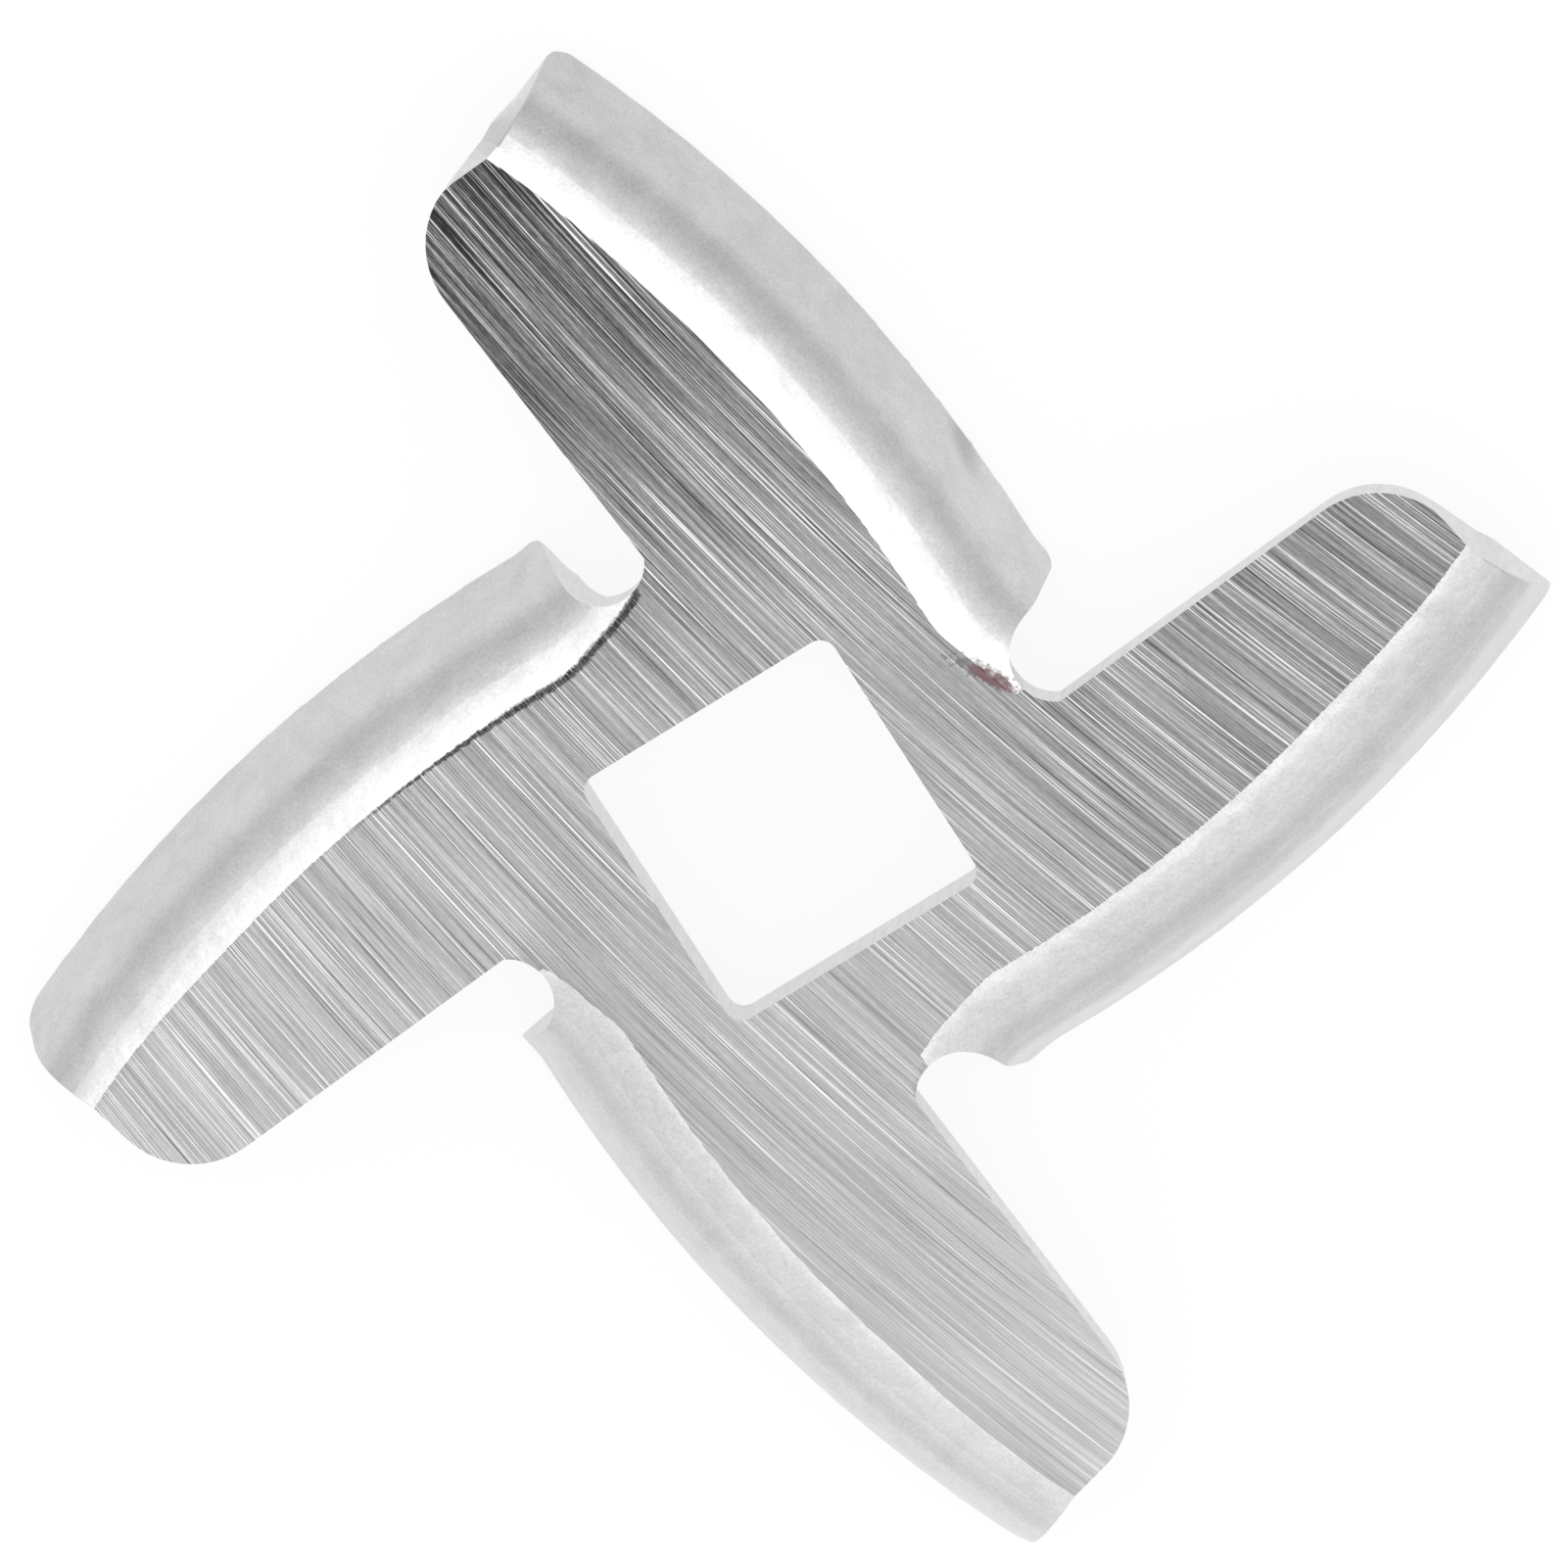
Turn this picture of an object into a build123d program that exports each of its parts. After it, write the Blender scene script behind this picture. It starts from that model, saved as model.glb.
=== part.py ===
from build123d import *
import math
import os

# A knife for a household meat grinder: one stamped steel sheet with four arms.
# Each arm has a flat ground face on top, a straight cutting edge on one side,
# and on the other side a curved lip folded down towards the feet.
# Frame: the bore axis is Z, the bore's sides run along X and Y, the lips stand
# on Z = 0 and the ground face is the highest plane.  Millimetres and degrees.

# ---- sheet and bore
sheet = 1.70            # thickness of the finished flat
grind_depth = 0.02      # skin that surface grinding takes off the upper side
bore_side = 8.20        # square hole that fits over the feed screw's square pin
bore_corner = 0.50      # radius in the corners of the square hole

# ---- outline of one arm, the one that points along +Y
edge_offset = 2.06      # distance from the bore axis to the line of the edge
edge_lean = 6.0         # angle between the cutting edge and the bore's side
heel_radius = 2.60      # big rounded corner at the outer end of the edge
tip_x = 3.30            # where the straight tip of the flat meets the lip
tip_y = 20.68
tip_slope = 15.0        # slope of the tip across the flat
lip_end_slope = 26.0    # slope of the tip where it runs out over the lip
shear_taper = 4.0       # the sheared walls lean in by this much going down

# ---- slot between the inner end of a lip and the next arm's cutting edge
slot_width = 2.56       # the slot ends in a full radius of half this width
slot_reach = 9.12       # distance from the bore axis to that radius's centre

# ---- folded lip
lip_radius = 44.2       # plan radius of the lip's lower edge
lip_front = 9.99        # how far that edge stands out sideways from the bore axis
lip_front_at = 3.60     # where along the arm it stands out furthest
lip_drop = 4.04         # drop from the ground face to the lip's outer edge
lip_angle = 73.0        # how steeply the lip hangs
roll_radius = 6.0       # shallow roll where the fold starts
roll_angle = 14.0       # angle turned by that roll
fold_radius = 2.0       # outside radius of the main fold
runout_radius = 6.8     # plan radius with which the fold curves out into the slot
runout_at = 3.0         # where along the arm that curve starts
tip_round = 1.25        # rounded corner of the lip at the tip of the arm
root_round = 0.90       # rounded corner of the lip at the slot
rim_round = 0.22        # tumbled roundness of the lip's lower edge

# ---- section through the sheet: flat, shallow roll, main fold, hanging lip
raw_sheet = sheet + grind_depth
hang_sin = math.sin(math.radians(lip_angle))
hang_cos = math.cos(math.radians(lip_angle))
roll_sin = math.sin(math.radians(roll_angle))
roll_cos = math.cos(math.radians(roll_angle))
height = lip_drop + (raw_sheet - rim_round) * hang_cos + rim_round * (1 - hang_sin)
roll_drop = roll_radius * (1 - roll_cos)
fold_drop = fold_radius * (roll_cos - hang_cos)
wall_length = (lip_drop + grind_depth - roll_drop - fold_drop) / hang_sin
lip_run = wall_length * hang_cos + fold_radius * (hang_sin - roll_sin) + roll_radius * roll_sin
fold_start = lip_radius - lip_run
fold_turn = lip_angle - roll_angle
flat_root = fold_start - lip_front + edge_offset / 2

fold_centre = Vector(lip_front - lip_radius, lip_front_at)
runout_turn = math.degrees(math.asin((runout_at - lip_front_at) / fold_start))
runout_dir = Vector(1, 0).rotate(Axis.Z, runout_turn)
runout_centre = fold_centre + runout_dir * (fold_start + runout_radius)
section_plane = Plane(origin=fold_centre, x_dir=runout_dir, z_dir=runout_dir.rotate(Axis.Z, -90))

with BuildSketch(section_plane) as section:
    with BuildLine():
        flat = Line((flat_root, height + grind_depth), (fold_start, height + grind_depth))
        roll = JernArc(flat @ 1, flat % 1, roll_radius, -roll_angle)
        fold = JernArc(roll @ 1, roll % 1, fold_radius, -fold_turn)
        wall = PolarLine(fold @ 1, wall_length, direction=fold % 1)
        rim = PolarLine(wall @ 1, raw_sheet, direction=(wall % 1).rotate(Axis.Z, -90))
        wall_back = PolarLine(rim @ 1, wall_length, direction=-(wall % 1))
        fold_back = JernArc(wall_back @ 1, wall_back % 1, fold_radius - raw_sheet, fold_turn)
        roll_back = JernArc(fold_back @ 1, fold_back % 1, roll_radius - raw_sheet, roll_angle)
        flat_back = Line(roll_back @ 1, (flat_root, height - sheet))
        Line(flat_back @ 1, flat @ 0)
    make_face()
    fillet(section.vertices().sort_by(Axis.Y)[0:2], radius=rim_round)

# ---- outline of one arm in the ground plane
edge_side = Vector(1, 0).rotate(Axis.Z, edge_lean)
edge_dir = Vector(0, 1).rotate(Axis.Z, edge_lean)
tip_dir = Vector(1, 0).rotate(Axis.Z, tip_slope)
lip_end_dir = Vector(1, 0).rotate(Axis.Z, lip_end_slope)
edge_root = edge_side * edge_offset
tip_corner = Vector(tip_x, tip_y)
heel = tip_corner - tip_dir * (edge_side.dot(tip_corner - edge_root) / edge_side.dot(tip_dir))
clear_of_lip = lip_front + 2 * sheet
cut_depth = height + sheet

with BuildSketch(Plane.XY.offset(height)) as outline:
    with BuildLine():
        Polyline(
            edge_root,
            heel,
            tip_corner,
            tip_corner + lip_end_dir * lip_front,
            (clear_of_lip, edge_offset / 2),
            (clear_of_lip, -0.7 * edge_offset),
            (edge_offset, -1.2 * edge_offset),
            close=True,
        )
    make_face()
    fillet(outline.vertices().sort_by_distance(heel)[0], radius=heel_radius)

# ---- slot beside the inner end of the lip; it cuts this arm only, and the next
# arm's cutting edge closes its lower side
slot_dir = edge_side
slot_across = edge_dir
slot_centre = slot_dir * slot_reach + slot_across * (slot_width / 2 - edge_offset)
slot_plane = Plane(origin=slot_centre + Vector(0, 0, height), x_dir=slot_dir, z_dir=(0, 0, 1))

with BuildPart() as slot:
    with BuildSketch(slot_plane):
        Circle(slot_width / 2)
        with Locations((0, slot_width / 2)):
            Rectangle(clear_of_lip, slot_width * 1.2, align=(Align.MIN, Align.MAX))
    extrude(amount=-cut_depth, taper=-shear_taper)


def on_circle(start, direction, centre, radius):
    """Point where a ray from start first leaves the circle."""
    back = start - centre
    along = -back.dot(direction)
    reach = math.sqrt(along**2 - back.dot(back) + radius**2)
    return start + direction * (along + reach)


# ---- where the lip's two lower corners are, with a plane on the lip's face there:
# X along the lip towards its end, Y up the lip
up = Vector(0, 0, 1)
rim_level = up * (height - lip_drop)
wall_inset = lip_drop * math.tan(math.radians(shear_taper))

tip_wall = tip_corner - lip_end_dir.rotate(Axis.Z, 90) * wall_inset
tip_point = on_circle(tip_wall, lip_end_dir, fold_centre, lip_radius)
tip_out = (tip_point - fold_centre).normalized()
tip_plane = Plane(
    origin=tip_point + rim_level,
    x_dir=tip_out.rotate(Axis.Z, 90),
    z_dir=tip_out * hang_sin + up * hang_cos,
)

rim_runout = runout_radius - lip_run
slot_far_side = slot_width - edge_offset + wall_inset
slot_wall = runout_centre + slot_across * (slot_far_side - runout_centre.dot(slot_across))
root_point = on_circle(slot_wall, -slot_dir, runout_centre, rim_runout)
root_out = (runout_centre - root_point).normalized()
root_plane = Plane(
    origin=root_point + rim_level,
    x_dir=root_out.rotate(Axis.Z, -90),
    z_dir=-(root_out * hang_sin + up * hang_cos),
)

# ---- one arm: the section turned about the lip's centre, and turned the other
# way beside the slot, where the fold curves out and ends; both run past the
# outline, which trims them
tip_sweep = math.degrees((tip_y + sheet - runout_at) / lip_radius) * 1.15
slot_sweep = math.degrees((runout_at + 0.7 * edge_offset) / runout_radius) * 1.1

with BuildPart() as arm:
    revolve(section.sketch, axis=Axis(fold_centre, up), revolution_arc=tip_sweep)
    revolve(section.sketch, axis=Axis(runout_centre, up), revolution_arc=slot_sweep)
    extrude(outline.sketch, amount=-cut_depth, taper=shear_taper, mode=Mode.INTERSECT)
    add(slot.part, mode=Mode.SUBTRACT)
    with BuildSketch(tip_plane):
        with Locations((-tip_round, tip_round)):
            Rectangle(3 * tip_round, 3 * tip_round, align=(Align.MIN, Align.MAX))
            Circle(tip_round, mode=Mode.SUBTRACT)
    extrude(amount=2 * sheet, both=True, mode=Mode.SUBTRACT)
    with BuildSketch(root_plane):
        with Locations((-root_round, root_round)):
            Rectangle(3 * root_round, 3 * root_round, align=(Align.MIN, Align.MAX))
            Circle(root_round, mode=Mode.SUBTRACT)
    extrude(amount=2 * sheet, both=True, mode=Mode.SUBTRACT)

# ---- the knife: four arms around the bore
with BuildPart() as knife:
    with PolarLocations(0, 4):
        add(arm.part)
    with BuildSketch():
        RectangleRounded(bore_side, bore_side, bore_corner)
    extrude(amount=height, mode=Mode.SUBTRACT)

knife.part.label = "knife"
os.makedirs("parts", exist_ok=True)
export_step(knife.part, "parts/knife.step")
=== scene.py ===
import bmesh
import bpy
import math
from mathutils import Matrix, Vector


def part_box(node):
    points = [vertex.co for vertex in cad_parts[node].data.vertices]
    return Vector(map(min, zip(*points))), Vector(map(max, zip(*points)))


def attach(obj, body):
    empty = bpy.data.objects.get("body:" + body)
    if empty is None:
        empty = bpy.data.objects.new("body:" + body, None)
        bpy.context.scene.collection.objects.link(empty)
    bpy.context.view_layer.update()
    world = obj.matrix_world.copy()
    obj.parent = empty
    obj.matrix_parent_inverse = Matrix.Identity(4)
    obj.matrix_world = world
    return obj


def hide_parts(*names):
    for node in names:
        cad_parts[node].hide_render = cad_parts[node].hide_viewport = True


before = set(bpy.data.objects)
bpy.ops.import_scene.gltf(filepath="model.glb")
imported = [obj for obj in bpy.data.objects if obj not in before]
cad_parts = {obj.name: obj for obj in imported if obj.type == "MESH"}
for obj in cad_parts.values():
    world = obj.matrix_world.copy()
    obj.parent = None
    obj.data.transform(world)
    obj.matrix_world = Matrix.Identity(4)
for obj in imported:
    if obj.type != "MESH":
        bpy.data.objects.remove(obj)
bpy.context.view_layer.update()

# ---------------------------------------------------------------- knife
# One stamped sheet of carbon steel with four arms around a square hole. The lips were folded down
# in a die, the whole knife was tumbled to a satin skin, and its upper side was then ground flat on
# a surface grinder with a big wheel, which left long curved marks across all four arms.
MM = 0.001
GROUND_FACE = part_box("knife")[1].z / MM      # height of the ground face, millimetres

# the arms by the way they point, and how far each is turned from the one along +Y, degrees
arms = {"north": 0, "east": -90, "south": 180, "west": 90}

# where the ground face ends at the lip, on the arm along +Y, millimetres
lip_centre_x = -34.21    # the boundary is a circle around this point
lip_centre_y = 3.60
lip_circle = 41.05       # radius of that circle
runout_circle = 6.8      # the boundary's inner end curves out into the slot with this radius
runout_y = 3.0           # where along the arm that curve starts
end_flare = 0.20         # the boundary drifts this much further out at both of its ends
outer_flare = 14.0, 20.0     # where along the arm it drifts towards the tip, from and to
inner_flare_end = 1.2    # and where the drift at the inner end is complete
slot_end_y = -0.15       # no lip lies further in than this
next_edge_lean = 0.105   # the next arm's cutting edge: its slope, and where it crosses the axis
next_edge_y = -1.97
arm_from_x = 2.0         # the lip's side of the arm starts here
off_the_arm = -5.0       # what the boundary's measure gives elsewhere on the knife

# the boundary lies this much further out on each arm, as the lips weren't folded alike
boundary_out = {"north": -0.12, "east": -0.27, "south": -0.03, "west": 0.05}

steel = bpy.data.materials.new("ground_and_tumbled_steel")
steel.use_nodes = True
tree = steel.node_tree
tree.nodes.clear()


def node(kind, inputs=None, **settings):
    """A shader node with its settings, and its inputs set or linked."""
    made = tree.nodes.new(kind)
    for name, value in settings.items():
        setattr(made, name, value)
    for key, value in (inputs or {}).items():
        if isinstance(value, bpy.types.NodeSocket):
            tree.links.new(value, made.inputs[key])
        else:
            made.inputs[key].default_value = value
    return made


def calc(operation, *values, clamp=False):
    """The result of a Math node."""
    inputs = dict(enumerate(values))
    return node("ShaderNodeMath", inputs, operation=operation, use_clamp=clamp).outputs[0]


def vector_calc(operation, inputs, output):
    """One output of a Vector Math node."""
    return node("ShaderNodeVectorMath", inputs, operation=operation).outputs[output]


def ramp(value, low, high, to_low=0.0, to_high=1.0):
    """A smooth step of value from low to high."""
    inputs = {"Value": value, "From Min": low, "From Max": high,
              "To Min": to_low, "To Max": to_high}
    return node("ShaderNodeMapRange", inputs, interpolation_type="SMOOTHSTEP").outputs[0]


def blend(share, low, high):
    """low where share is 0 and high where it is 1, for single values."""
    inputs = {"Factor": share, 2: low, 3: high}
    return node("ShaderNodeMix", inputs, data_type="FLOAT").outputs[0]


def point(x, y, z=0.0):
    """A vector of three values."""
    return node("ShaderNodeCombineXYZ", {"X": x, "Y": y, "Z": z}).outputs[0]


def clouds(vector, scale=1.0, detail=2.0, roughness=0.5, distortion=0.0):
    """Noise from 0 to 1 around 0.5."""
    inputs = {"Vector": vector, "Scale": scale, "Detail": detail, "Roughness": roughness,
              "Distortion": distortion}
    return node("ShaderNodeTexNoise", inputs).outputs["Fac"]


def centred(value, share):
    """Noise around 0, as strong as share."""
    return calc("MULTIPLY", calc("SUBTRACT", value, 0.5), share)


# the place on the knife in millimetres, and how far the surface faces up
place = node("ShaderNodeTexCoord").outputs["Object"]
place = vector_calc("SCALE", {0: place, "Scale": 1 / MM}, "Vector")
x, y, z = node("ShaderNodeSeparateXYZ", {0: place}).outputs
facing = node("ShaderNodeNewGeometry").outputs["True Normal"]
facing = node("ShaderNodeSeparateXYZ", {0: facing}).outputs["Z"]


def beyond_boundary(sideways, outward, out):
    """How far a point lies past an arm's ground boundary, on the lip's side.

    The point is given as on the arm along +Y: sideways towards the lip, and outward.
    """
    here = point(sideways, outward)
    centre = (lip_centre_x, lip_centre_y, 0)
    from_centre = vector_calc("DISTANCE", {0: here, 1: centre}, "Value")
    past_circle = calc("SUBTRACT", from_centre, lip_circle + out)
    turn = math.asin((runout_y - lip_centre_y) / lip_circle)
    reach = lip_circle + out + runout_circle
    runout = (lip_centre_x + reach * math.cos(turn), lip_centre_y + reach * math.sin(turn), 0)
    from_runout = vector_calc("DISTANCE", {0: here, 1: runout}, "Value")
    past_runout = calc("SUBTRACT", runout_circle, from_runout)
    by_the_slot = calc("LESS_THAN", outward, runout_y)
    past = blend(by_the_slot, past_circle, past_runout)
    flare = calc("ADD", ramp(outward, *outer_flare), ramp(outward, runout_y, inner_flare_end))
    past = calc("SUBTRACT", past, calc("MULTIPLY", flare, end_flare))
    past = calc("MINIMUM", past, calc("SUBTRACT", outward, slot_end_y))
    from_next_edge = calc("SUBTRACT", outward, calc("MULTIPLY", sideways, next_edge_lean))
    past_next_edge = calc("GREATER_THAN", from_next_edge, next_edge_y)
    on_arm = calc("MULTIPLY", past_next_edge, calc("GREATER_THAN", sideways, arm_from_x))
    return blend(on_arm, off_the_arm, past)


minus_x = calc("MULTIPLY", x, -1.0)
minus_y = calc("MULTIPLY", y, -1.0)
north = beyond_boundary(x, y, boundary_out["north"])
east = beyond_boundary(minus_y, x, boundary_out["east"])
south = beyond_boundary(minus_x, minus_y, boundary_out["south"])
west = beyond_boundary(y, minus_x, boundary_out["west"])
past_boundary = calc("MAXIMUM", calc("MAXIMUM", north, east), calc("MAXIMUM", south, west))

# the upper side near the ground face's height, and the walls that the press sheared
top_depth = 0.4          # how far below the ground face the top still counts, millimetres
level_facing = 0.9       # a face that faces up more than this is level
wall_facing = 0.12, 0.22     # a wall faces up or down no more than this, from and to
near_ground_face = calc("GREATER_THAN", z, GROUND_FACE - top_depth)
on_top = calc("MULTIPLY", calc("GREATER_THAN", facing, level_facing), near_ground_face)
sheared = ramp(calc("ABSOLUTE", facing), *wall_facing, 1.0, 0.0)

# grinding marks: streaks along flat curves that fan out a little
mark_lean = math.radians(13.6)     # the marks cross the hole's X side at this angle
mark_fan = 0.0046        # how much they spread in each millimetre of their length
mark_bend = 0.0035       # how much they bend
lean_x, lean_y = math.cos(mark_lean), math.sin(mark_lean)
side = calc("ADD", calc("MULTIPLY", x, lean_x), calc("MULTIPLY", y, lean_y))
along = calc("SUBTRACT", calc("MULTIPLY", x, lean_y), calc("MULTIPLY", y, lean_x))
fanned = calc("SUBTRACT", 1.0, calc("MULTIPLY", along, mark_fan))
bent = calc("MULTIPLY", calc("MULTIPLY", along, along), mark_bend)
across = calc("SUBTRACT", calc("MULTIPLY", side, fanned), bent)


def streaks(per_mm, length, shift, detail=2.0):
    """Long thin streaks: how many of them lie in a millimetre, and how long they are."""
    lengthwise = calc("MULTIPLY", along, 1 / length)
    return clouds(point(calc("MULTIPLY", across, per_mm), lengthwise, shift),
                  detail=detail, roughness=0.6)


fine = streaks(per_mm=30.0, length=5.0, shift=3.0)
medium = streaks(per_mm=17.0, length=12.0, shift=7.0)
broad = streaks(per_mm=3.5, length=26.0, shift=11.0, detail=1.0)
chatter = streaks(per_mm=26.0, length=0.30, shift=17.0, detail=1.0)
bright_cut = streaks(per_mm=24.0, length=12.0, shift=23.0, detail=1.0)
bright_cut = ramp(bright_cut, 0.59, 0.67)
dark_cut = streaks(per_mm=21.0, length=8.0, shift=41.0, detail=1.0)
dark_cut = ramp(dark_cut, 0.60, 0.68)

# painted shade: the ground face is coloured bright in the south-west and darker towards the north
# arm's tip, in place of the light mirrored in the flat steel
painted_shade_per_x = 0.0043      # in each millimetre
painted_shade_per_y = 0.0051
painted_shade_at_tip = 0.0008     # in each square millimetre past the north arm's root
root_y = 5.0
painted_shade_north_arm = 0.06    # the north and the east arm get this much more painted shade, from their roots on
painted_shade_east_arm = 0.05
painted_shade = calc("ADD", calc("MULTIPLY", x, painted_shade_per_x), calc("MULTIPLY", y, painted_shade_per_y))
past_root = calc("MAXIMUM", calc("SUBTRACT", y, root_y), 0.0)
past_root = calc("MULTIPLY", past_root, past_root)
painted_shade = calc("ADD", painted_shade, calc("MULTIPLY", past_root, painted_shade_at_tip))
north_arm_painted_shade = ramp(y, root_y, 9.0, to_high=painted_shade_north_arm)
east_arm_painted_shade = ramp(x, 4.0, 9.0, to_high=painted_shade_east_arm)
painted_shade = calc("ADD", painted_shade, calc("ADD", north_arm_painted_shade, east_arm_painted_shade))

# the marks are also stronger where the painted shade is deeper, and a little weaker towards the
# east
least_scoring = 0.066
least_painted_shade = -0.12
scoring_share = 0.35
scoring_per_x = 0.0012   # in each millimetre
scoring = calc("MULTIPLY", calc("MAXIMUM", painted_shade, least_painted_shade), scoring_share)
scoring = calc("ADD", least_scoring, scoring)
scoring = calc("SUBTRACT", scoring, calc("MULTIPLY", x, scoring_per_x))

# how strong each kind of streak is beside the others
fine_share = 6.9
medium_share = 3.5
broad_share = 2.0
chatter_share = 2.0
bright_cut_share = 4.2
dark_cut_share = 2.8
streak = calc("ADD", centred(fine, fine_share), centred(medium, medium_share))
wide_streak = calc("ADD", centred(broad, broad_share), centred(chatter, chatter_share))
streak = calc("ADD", streak, wide_streak)
streak = calc("ADD", streak, calc("MULTIPLY", bright_cut, bright_cut_share))
streak = calc("SUBTRACT", streak, calc("MULTIPLY", dark_cut, dark_cut_share))

# the tone, painted shade included, is counted as the eye sees it, and then made the steel's
# reflectance
middle_tone = 0.675
darkest_tone = 0.20
eye_power = 2.2
brightest_ground = 0.70
tone = calc("ADD", calc("SUBTRACT", middle_tone, painted_shade), calc("MULTIPLY", scoring, streak))
tone = calc("MINIMUM", calc("MAXIMUM", tone, darkest_tone), 1.0)
ground_value = calc("MULTIPLY", calc("POWER", tone, eye_power), brightest_ground)

# the ground face ends in a line that is slightly ragged across the marks
edge_soft = 0.015        # millimetres
edge_ragged = 0.12
ragged = calc("ADD", past_boundary, centred(medium, edge_ragged))
ground = calc("MULTIPLY", on_top, ramp(ragged, -edge_soft, edge_soft, 1.0, 0.0))

# tumbled skin: soft dents, clouds and a fine grain
skin_tone = 0.67
skin_per_y = 0.004       # it gets this much duller in each millimetre to the north
patch_share = 0.20       # how much the clouds and the grain change its tone
grain_share = 0.34
grain_relief = 0.35      # and how much the grain and the dents change its height
dent_relief = 2.2
grain = clouds(place, scale=11.0, detail=3.0, roughness=0.7)
patches = clouds(place, scale=0.8, detail=3.0, roughness=0.6, distortion=0.6)
dents = clouds(place, scale=1.6, detail=2.0, roughness=0.45)
skin_value = calc("SUBTRACT", skin_tone, calc("MULTIPLY", y, skin_per_y))
skin_clouds = calc("ADD", centred(patches, patch_share), centred(grain, grain_share))
skin_value = calc("ADD", skin_value, skin_clouds)
skin_relief = calc("MULTIPLY", grain, grain_relief)
skin_relief = calc("ADD", skin_relief, calc("MULTIPLY", dents, dent_relief))

# painted highlight: the start of the roll is coloured brighter on the north and west arms and a
# little darker on the east and south ones
not_south = calc("MAXIMUM", ramp(x, -3.0, 1.0), ramp(y, -2.0, 2.0))
painted_roll_highlight = calc("ADD", ramp(y, -2.0, 2.0, -0.04, 0.11), calc("MULTIPLY", not_south, -0.02))
start_of_roll = ramp(facing, 0.955, 0.990)
skin_value = calc("ADD", skin_value, calc("MULTIPLY", start_of_roll, painted_roll_highlight))

# painted shade: the outside of the fold is coloured darker, most of all on the east arm and not on
# the south one
outside_of_fold = calc("MULTIPLY", ramp(facing, 0.40, 0.60), ramp(facing, 0.62, 0.84, 1.0, 0.0))
painted_fold_shade_depth = ramp(y, -2.0, 2.0, 0.11, 0.045)
painted_fold_shade = calc("MULTIPLY", calc("MULTIPLY", outside_of_fold, not_south), painted_fold_shade_depth)
skin_value = calc("MULTIPLY", skin_value, calc("SUBTRACT", 1.0, painted_fold_shade))

# painted highlight: the south arm's fold is coloured a little brighter
south_fold = calc("MULTIPLY", ramp(facing, 0.66, 0.80), ramp(facing, 0.94, 0.99, 1.0, 0.0))
south_fold = calc("MULTIPLY", south_fold, calc("SUBTRACT", 1.0, not_south))
painted_south_fold_highlight = 0.05
skin_value = calc("ADD", skin_value, calc("MULTIPLY", south_fold, painted_south_fold_highlight))

# the sheared walls are brighter, with short marks from the punch that run up and down
sheared_tone = 0.73
punch_across = 7.0       # how many marks lie in a millimetre across the wall, and up it
punch_up = 0.7
punch_share = 0.22       # how much the marks and the grain change the walls' tone
wall_grain_share = 0.10
punch_place = point(calc("MULTIPLY", x, punch_across), calc("MULTIPLY", y, punch_across),
                    calc("MULTIPLY", z, punch_up))
punch_marks = centred(clouds(punch_place), punch_share)
sheared_marks = calc("ADD", punch_marks, centred(grain, wall_grain_share))
skin_value = blend(sheared, skin_value, calc("ADD", sheared_tone, sheared_marks))

# a few dark pits
pit_cells = 1.8          # how many cells lie in a millimetre
pits_from = 0.88         # only the cells that draw more than this have a pit
pit_spread = 0.55
pit_dark = 0.45
cells = node("ShaderNodeTexVoronoi", {"Vector": place, "Scale": pit_cells, "Randomness": 1.0})
drawn = node("ShaderNodeSeparateColor", {0: cells.outputs["Color"]}).outputs[0]
pit_size = calc("MAXIMUM", calc("SUBTRACT", drawn, pits_from), 0.0)
pit_size = calc("MULTIPLY", pit_size, pit_spread)
pit = calc("LESS_THAN", cells.outputs["Distance"], pit_size)
skin_value = calc("MULTIPLY", skin_value, calc("SUBTRACT", 1.0, calc("MULTIPLY", pit, pit_dark)))

mottle = clouds(place, scale=6.5, detail=3.0, roughness=0.6)


def stain(x_middle, y_middle, turn, long, wide, ragged=1.2, soft=0.2):
    """1 inside an oval spot on the knife, given in millimetres and degrees, and 0 outside it."""
    c, s = math.cos(math.radians(turn)), math.sin(math.radians(turn))
    from_x, from_y = calc("SUBTRACT", x, x_middle), calc("SUBTRACT", y, y_middle)
    lengthwise = calc("ADD", calc("MULTIPLY", from_x, c), calc("MULTIPLY", from_y, s))
    crosswise = calc("SUBTRACT", calc("MULTIPLY", from_y, c), calc("MULTIPLY", from_x, s))
    u, v = calc("DIVIDE", lengthwise, long), calc("DIVIDE", crosswise, wide)
    out = calc("SQRT", calc("ADD", calc("MULTIPLY", u, u), calc("MULTIPLY", v, v)))
    return ramp(calc("ADD", out, centred(mottle, ragged)), 1 - soft, 1 + soft, 1.0, 0.0)


# a rust spot at the inner end of the north lip with a grey halo, and a faint grey spot on that
# lip's outer edge
rust = stain(7.34, 0.60, -60.0, 0.70, 0.20)
halo = stain(7.24, 0.86, -58.0, 0.95, 0.24, ragged=3.4)
smudge = stain(9.74, 6.05, 84.0, 0.65, 0.16, ragged=0.5, soft=0.8)

# the grinder left a dark ragged burr where it ran off the inner half of the west lip's boundary
burr_inside = 0.05       # how far inside the boundary its middle lies, millimetres
burr_thin = 0.03         # half of its width at its outer end, and at its inner end
burr_thick = 0.12
burr_ragged = 0.20
burr_cover = 0.80        # how much of the steel it hides
burr_width = ramp(minus_x, 9.0, 2.5, burr_thin, burr_thick)
burr_line = calc("ABSOLUTE", calc("ADD", west, burr_inside))
burr_line = calc("ADD", burr_line, centred(mottle, burr_ragged))
burr = ramp(calc("DIVIDE", burr_line, burr_width), 0.6, 1.4, 1.0, 0.0)
burr = calc("MULTIPLY", burr, calc("MULTIPLY", on_top, ramp(minus_x, 11.0, 8.0)))
burr_share = calc("ADD", burr_cover, centred(chatter, 1.5))
burr = calc("MULTIPLY", burr, burr_share, clamp=True)

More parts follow.
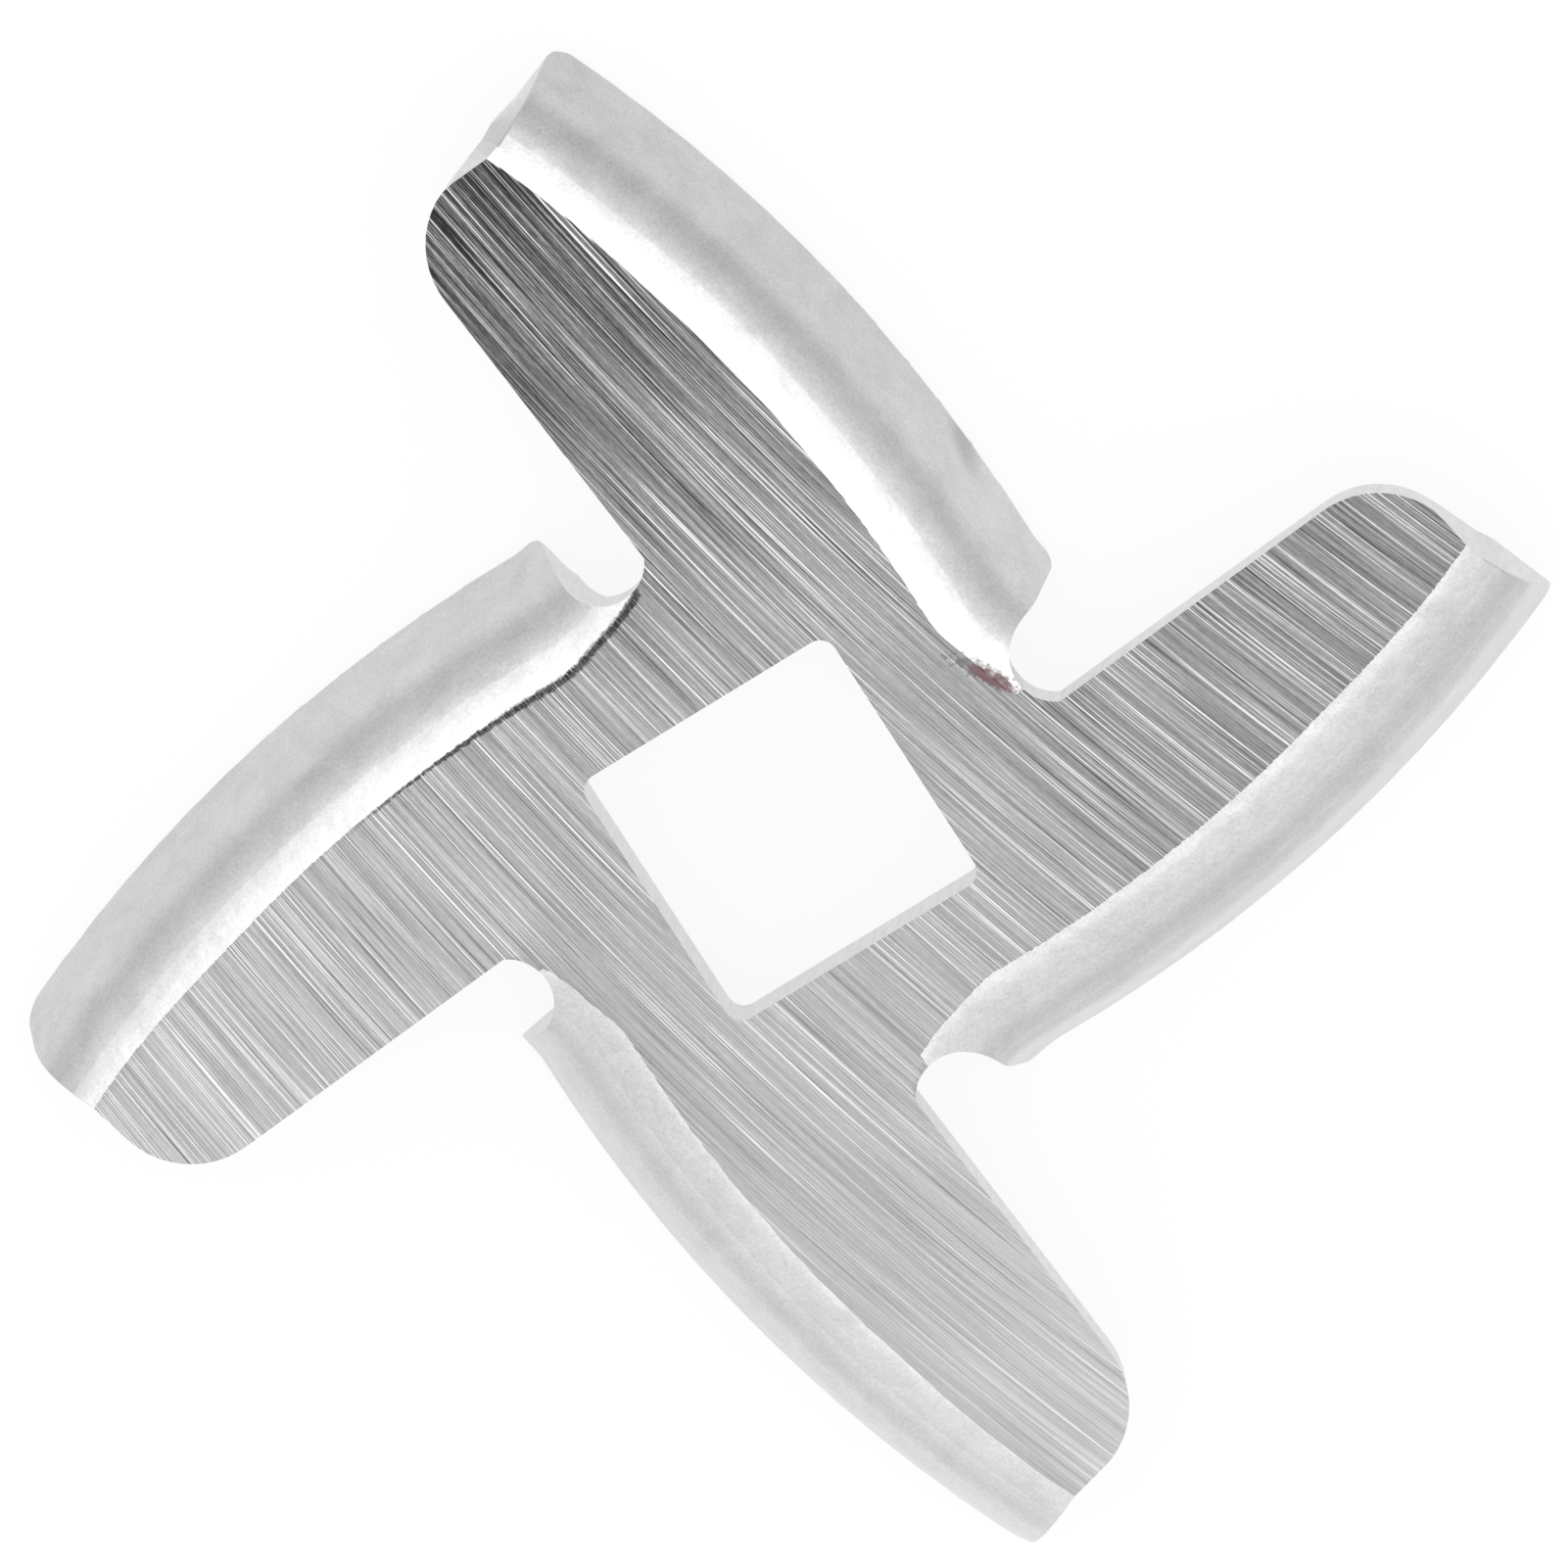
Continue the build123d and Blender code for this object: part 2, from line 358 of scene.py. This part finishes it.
# the marks on the steel, by how much light they give back
burr_value = 0.02
halo_value = 0.07
smudge_value = 0.25
rust_red, rust_green, rust_blue = 0.13, 0.07, 0.08
halo_cover = 0.45        # and how much of the steel they hide
smudge_cover = 0.45
rust_cover = 0.80
value = blend(ground, skin_value, ground_value)
value = blend(burr, value, burr_value)
halo_share = calc("MULTIPLY", halo, calc("ADD", halo_cover, centred(chatter, 1.6)))
value = blend(halo_share, value, halo_value)
value = blend(calc("MULTIPLY", smudge, smudge_cover), value, smudge_value)
rust_broken = calc("ADD", centred(chatter, 0.9), centred(mottle, 1.2))
rust_share = calc("MULTIPLY", rust, calc("ADD", rust_cover, rust_broken))
colour = node("ShaderNodeCombineColor", {
    "Red": blend(rust_share, value, rust_red),
    "Green": blend(rust_share, value, rust_green),
    "Blue": blend(rust_share, value, rust_blue),
})

relief_depth = 0.010     # millimetres
skin_roughness = 0.36
ground_roughness = 0.28
mark_relief = 0.6        # how deep the fine marks are beside the skin's relief
relief = blend(ground, skin_relief, calc("MULTIPLY", fine, mark_relief))
bump = node("ShaderNodeBump", {"Strength": 1.0, "Distance": relief_depth * MM, "Height": relief})
shader = node("ShaderNodeBsdfPrincipled", {
    "Base Color": colour.outputs[0],
    "Metallic": 1.0,
    "Roughness": blend(ground, skin_roughness, ground_roughness),
    "Normal": bump.outputs[0],
})
node("ShaderNodeOutputMaterial", {"Surface": shader.outputs[0]})

# the shape starts as a copy of the solid's mesh, with its loose triangles joined
same_corner = 0.001      # corners closer than this are one, millimetres
shape = bmesh.new()
shape.from_mesh(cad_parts["knife"].data)
bmesh.ops.remove_doubles(shape, verts=shape.verts, dist=same_corner * MM)
shape.normal_update()


def arm_turns(angle):
    """The turn from the knife's frame to the frame of an arm, and the one back."""
    to_arm = Matrix.Rotation(math.radians(-angle), 3, "Z")
    return to_arm, to_arm.transposed()


def smooth_step(value, low, high):
    """A smooth step from 0 at low to 1 at high."""
    share = min(max((value - low) / (high - low), 0.0), 1.0)
    return share * share * (3 - 2 * share)


# The slot's end runs on without a pocket where it meets the next arm's edge, and the lip's lower
# corner has no step. Places are in the frame of the arm, millimetres.
pocket_low = Vector((8.143, -1.335))         # where the pocket starts, and the way it goes
pocket_way = Vector((0.762, 0.648))
pocket_from, pocket_to = -0.05, 0.62         # its reach along that way
pocket_floor = Vector((8.482, -1.047, 2.730))
pocket_rim = Vector((8.576, -0.968, 4.451))
pocket_above = 2.7
step_at = Vector((5.767, 21.582, 1.644))
step_reach = 0.085
on_line = 0.02           # a corner of the pocket lies this near the line along its way
on_level = 0.003         # and a corner of the step this near its height
joined_corner = 0.004    # corners that were brought this near are one
least_edge = 0.002       # and an edge shorter than this goes
for angle in arms.values():
    to_arm, to_knife = arm_turns(angle)
    for vert in shape.verts:
        spot = to_arm @ vert.co / MM
        from_low = spot.xy - pocket_low
        on_pocket = (abs(from_low.cross(pocket_way)) < on_line
                     and pocket_from < from_low.dot(pocket_way) < pocket_to)
        if on_pocket and spot.z > pocket_above:
            share = (spot.z - pocket_floor.z) / (pocket_rim.z - pocket_floor.z)
            corner = pocket_floor.lerp(pocket_rim, share)
            vert.co = to_knife @ Vector((corner.x, corner.y, spot.z)) * MM
        elif (spot - step_at).length < step_reach and abs(spot.z - step_at.z) < on_level:
            vert.co = to_knife @ step_at * MM
bmesh.ops.remove_doubles(shape, verts=shape.verts, dist=joined_corner * MM)
bmesh.ops.dissolve_degenerate(shape, edges=shape.edges, dist=least_edge * MM)
bmesh.ops.triangulate(shape, faces=shape.faces)
shape.normal_update()

# The fold squeezed the sheet's inner side out at the end of each arm, so the end walls lean: their
# upper edge lies further in than the lower one, most of all at the fold. Millimetres.
pulled_in = {"north": 0.36, "east": 0.18, "south": 0.03, "west": 0.03}
pushed_out = {"north": 0.16, "east": 0.24, "south": 0.20, "west": 0.20}
end_from_y = 19.0        # the end wall of an arm lies beyond this
end_from_x = 0.5         # and on this side
faces_out = 0.75         # what its normal has at least along the arm
faces_up = 0.35          # and at most up or down
for arm, angle in arms.items():
    to_arm, to_knife = arm_turns(angle)
    moves = []
    for vert in shape.verts:
        spot = to_arm @ vert.co / MM
        if spot.y < end_from_y or spot.x < end_from_x:
            continue
        normals = [to_arm @ face.normal for face in vert.link_faces]
        end_wall = [n for n in normals if n.y > faces_out and abs(n.z) < faces_up]
        others = [n for n in normals if n.y <= faces_out or abs(n.z) >= faces_up]
        if not end_wall or not others:
            continue
        outer = any(n.z > 0.3 or n.x > 0.3 for n in others)
        depth = GROUND_FACE - spot.z
        at_fold = smooth_step(spot.x, 1.5, 3.9)
        if outer:
            amount = -pulled_in[arm] * at_fold * (1 - 0.9 * smooth_step(depth, 0.3, 3.6))
        else:
            amount = pushed_out[arm] * at_fold * (1 - smooth_step(depth, 1.9, 3.4))
        lip_centre = Vector((lip_centre_x, lip_centre_y, spot.z))
        along_lip = Matrix.Rotation(amount / (spot - lip_centre).length, 3, "Z")
        moves.append((vert, to_knife @ (lip_centre + along_lip @ (spot - lip_centre)) * MM))
    for vert, moved in moves:
        vert.co = moved

# tumbling rounded the upper edge of each end wall
edge_round = 0.06        # millimetres
edge_from_x = 3.7        # the rounding starts here along the end wall
edge_above = 1.65        # and ends at this height on the lip
shape.normal_update()
end_edges = []
for edge in shape.edges:
    for angle in arms.values():
        to_arm, to_knife = arm_turns(angle)
        spots = [to_arm @ vert.co / MM for vert in edge.verts]
        if min(spot.y for spot in spots) < end_from_y:
            continue
        if min(spot.x for spot in spots) < edge_from_x:
            continue
        if min(spot.z for spot in spots) < edge_above:
            continue
        normals = [to_arm @ face.normal for face in edge.link_faces]
        walls = [n.y > 0.70 and abs(n.z) < 0.5 for n in normals]
        outers = [n.z > 0.3 or n.x > 0.6 for n in normals]
        if (walls[0] and outers[1] and not walls[1]) or (walls[1] and outers[0] and not walls[0]):
            end_edges.append(edge)
bmesh.ops.bevel(shape, geom=end_edges, offset=edge_round * MM, segments=3, profile=0.5,
                affect="EDGES", clamp_overlap=True, material=-1)
bmesh.ops.triangulate(shape, faces=shape.faces)

crease_angle = 24        # edges sharper than this stay crisp, degrees
knife_mesh = bpy.data.meshes.new("knife_steel")
shape.normal_update()
shape.to_mesh(knife_mesh)
shape.free()
knife = bpy.data.objects.new("knife_steel", knife_mesh)
bpy.context.scene.collection.objects.link(knife)
knife_mesh.materials.append(steel)
knife_mesh.shade_smooth()
crisp_edges = knife.modifiers.new("crisp_edges", "EDGE_SPLIT")
crisp_edges.split_angle = math.radians(crease_angle)
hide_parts("knife")
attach(knife, "root")

# ---------------------------------------------------------------- floor
# A pale matt table top of painted board, much wider than the view. The knife lies on it on its
# four lips. It looks white to the camera and in the steel, and keeps the knife's shadow.
floor_half = 3.0         # half of its side, metres
floor_drop = 0.02        # how far it lies below the lips, millimetres
floor_white = 0.88       # how much of it is plain white where it is seen or mirrored
sheet = bmesh.new()
bmesh.ops.create_grid(sheet, x_segments=1, y_segments=1, size=floor_half)
floor_mesh = bpy.data.meshes.new("floor")
sheet.to_mesh(floor_mesh)
sheet.free()
floor = bpy.data.objects.new("floor", floor_mesh)
bpy.context.scene.collection.objects.link(floor)
floor.location.z = -floor_drop * MM
floor_paint = bpy.data.materials.new("floor_paint")
floor_paint.use_nodes = True
tree = floor_paint.node_tree
tree.nodes.clear()
path = node("ShaderNodeLightPath")
mirrored = calc("MAXIMUM", path.outputs["Is Glossy Ray"], path.outputs["Is Transmission Ray"])
seen = calc("MAXIMUM", path.outputs["Is Camera Ray"], mirrored)
matt = node("ShaderNodeBsdfDiffuse", {"Color": (0.97, 0.97, 0.97, 1)})
white = node("ShaderNodeEmission", {"Color": (1, 1, 1, 1), "Strength": 1.0})
surface = node("ShaderNodeMixShader", {
    0: calc("MULTIPLY", seen, floor_white),
    1: matt.outputs[0],
    2: white.outputs[0],
})
node("ShaderNodeOutputMaterial", {"Surface": surface.outputs[0]})
floor_mesh.materials.append(floor_paint)

# ---------------------------------------------------------------- light
# A white cloth tent over the table, which the steel mirrors: it is brightest overhead and a little
# darker low down at its sides. A soft square panel hangs in its roof and gives the faint shadow.
tent_low = 0.74          # how bright the steel sees the tent's sides
tent_high = 1.0          # and its roof
world = bpy.data.worlds.new("tent")
bpy.context.scene.world = world
world.use_nodes = True
tree = world.node_tree
tree.nodes.clear()
path = node("ShaderNodeLightPath")
direction = node("ShaderNodeTexCoord").outputs["Generated"]
up = node("ShaderNodeSeparateXYZ", {0: direction}).outputs["Z"]
tent = ramp(up, 0.35, 0.90, tent_low, tent_high)
strength = blend(path.outputs["Is Glossy Ray"], 1.0, tent)
background = node("ShaderNodeBackground", {"Color": (1, 1, 1, 1), "Strength": strength})
node("ShaderNodeOutputWorld", {"Surface": background.outputs[0]})

panel_size = 0.42        # side of the square, metres
panel_watts = 0.50
panel_distance = 0.6     # from the middle of the knife, metres
panel_elevation = math.radians(88)
panel_light = bpy.data.lights.new("soft_panel", "AREA")
panel_light.shape = "SQUARE"
panel_light.size = panel_size
panel_light.energy = panel_watts
panel = bpy.data.objects.new("soft_panel", panel_light)
bpy.context.scene.collection.objects.link(panel)
panel_way = Vector((math.cos(panel_elevation), 0.0, math.sin(panel_elevation)))
panel.location = panel_way * panel_distance
panel.rotation_euler = panel_way.to_track_quat("Z", "Y").to_euler()
panel.visible_camera = False

# ---------------------------------------------------------------- camera
# A long lens high above the knife, which looks down at it from the north-east side. Its place and
# its turn were worked out from the four arms, which are one arm turned by quarter turns.
picture_width = 1601     # pixels
focal_length = 14663.7   # in the same pixels
sensor_width = 36        # millimetres
camera_data = bpy.data.cameras.new("camera")
camera_data.sensor_width = sensor_width
camera_data.lens = focal_length / picture_width * sensor_width
camera_data.clip_start = 0.01
camera = bpy.data.objects.new("camera", camera_data)
bpy.context.scene.collection.objects.link(camera)
right = Vector((0.843101176, -0.536075803, -0.042463395))
down = Vector((-0.512540571, -0.824956477, 0.238220431))
ahead = Vector((-0.162734662, -0.179079713, -0.970282374))
eye = Vector((65.850, 72.663, 387.796 + GROUND_FACE)) * MM
turn = Matrix((right, -down, -ahead)).transposed()
camera.matrix_world = Matrix.Translation(eye) @ turn.to_4x4()
bpy.context.scene.camera = camera
bpy.context.scene.view_settings.view_transform = "Standard"
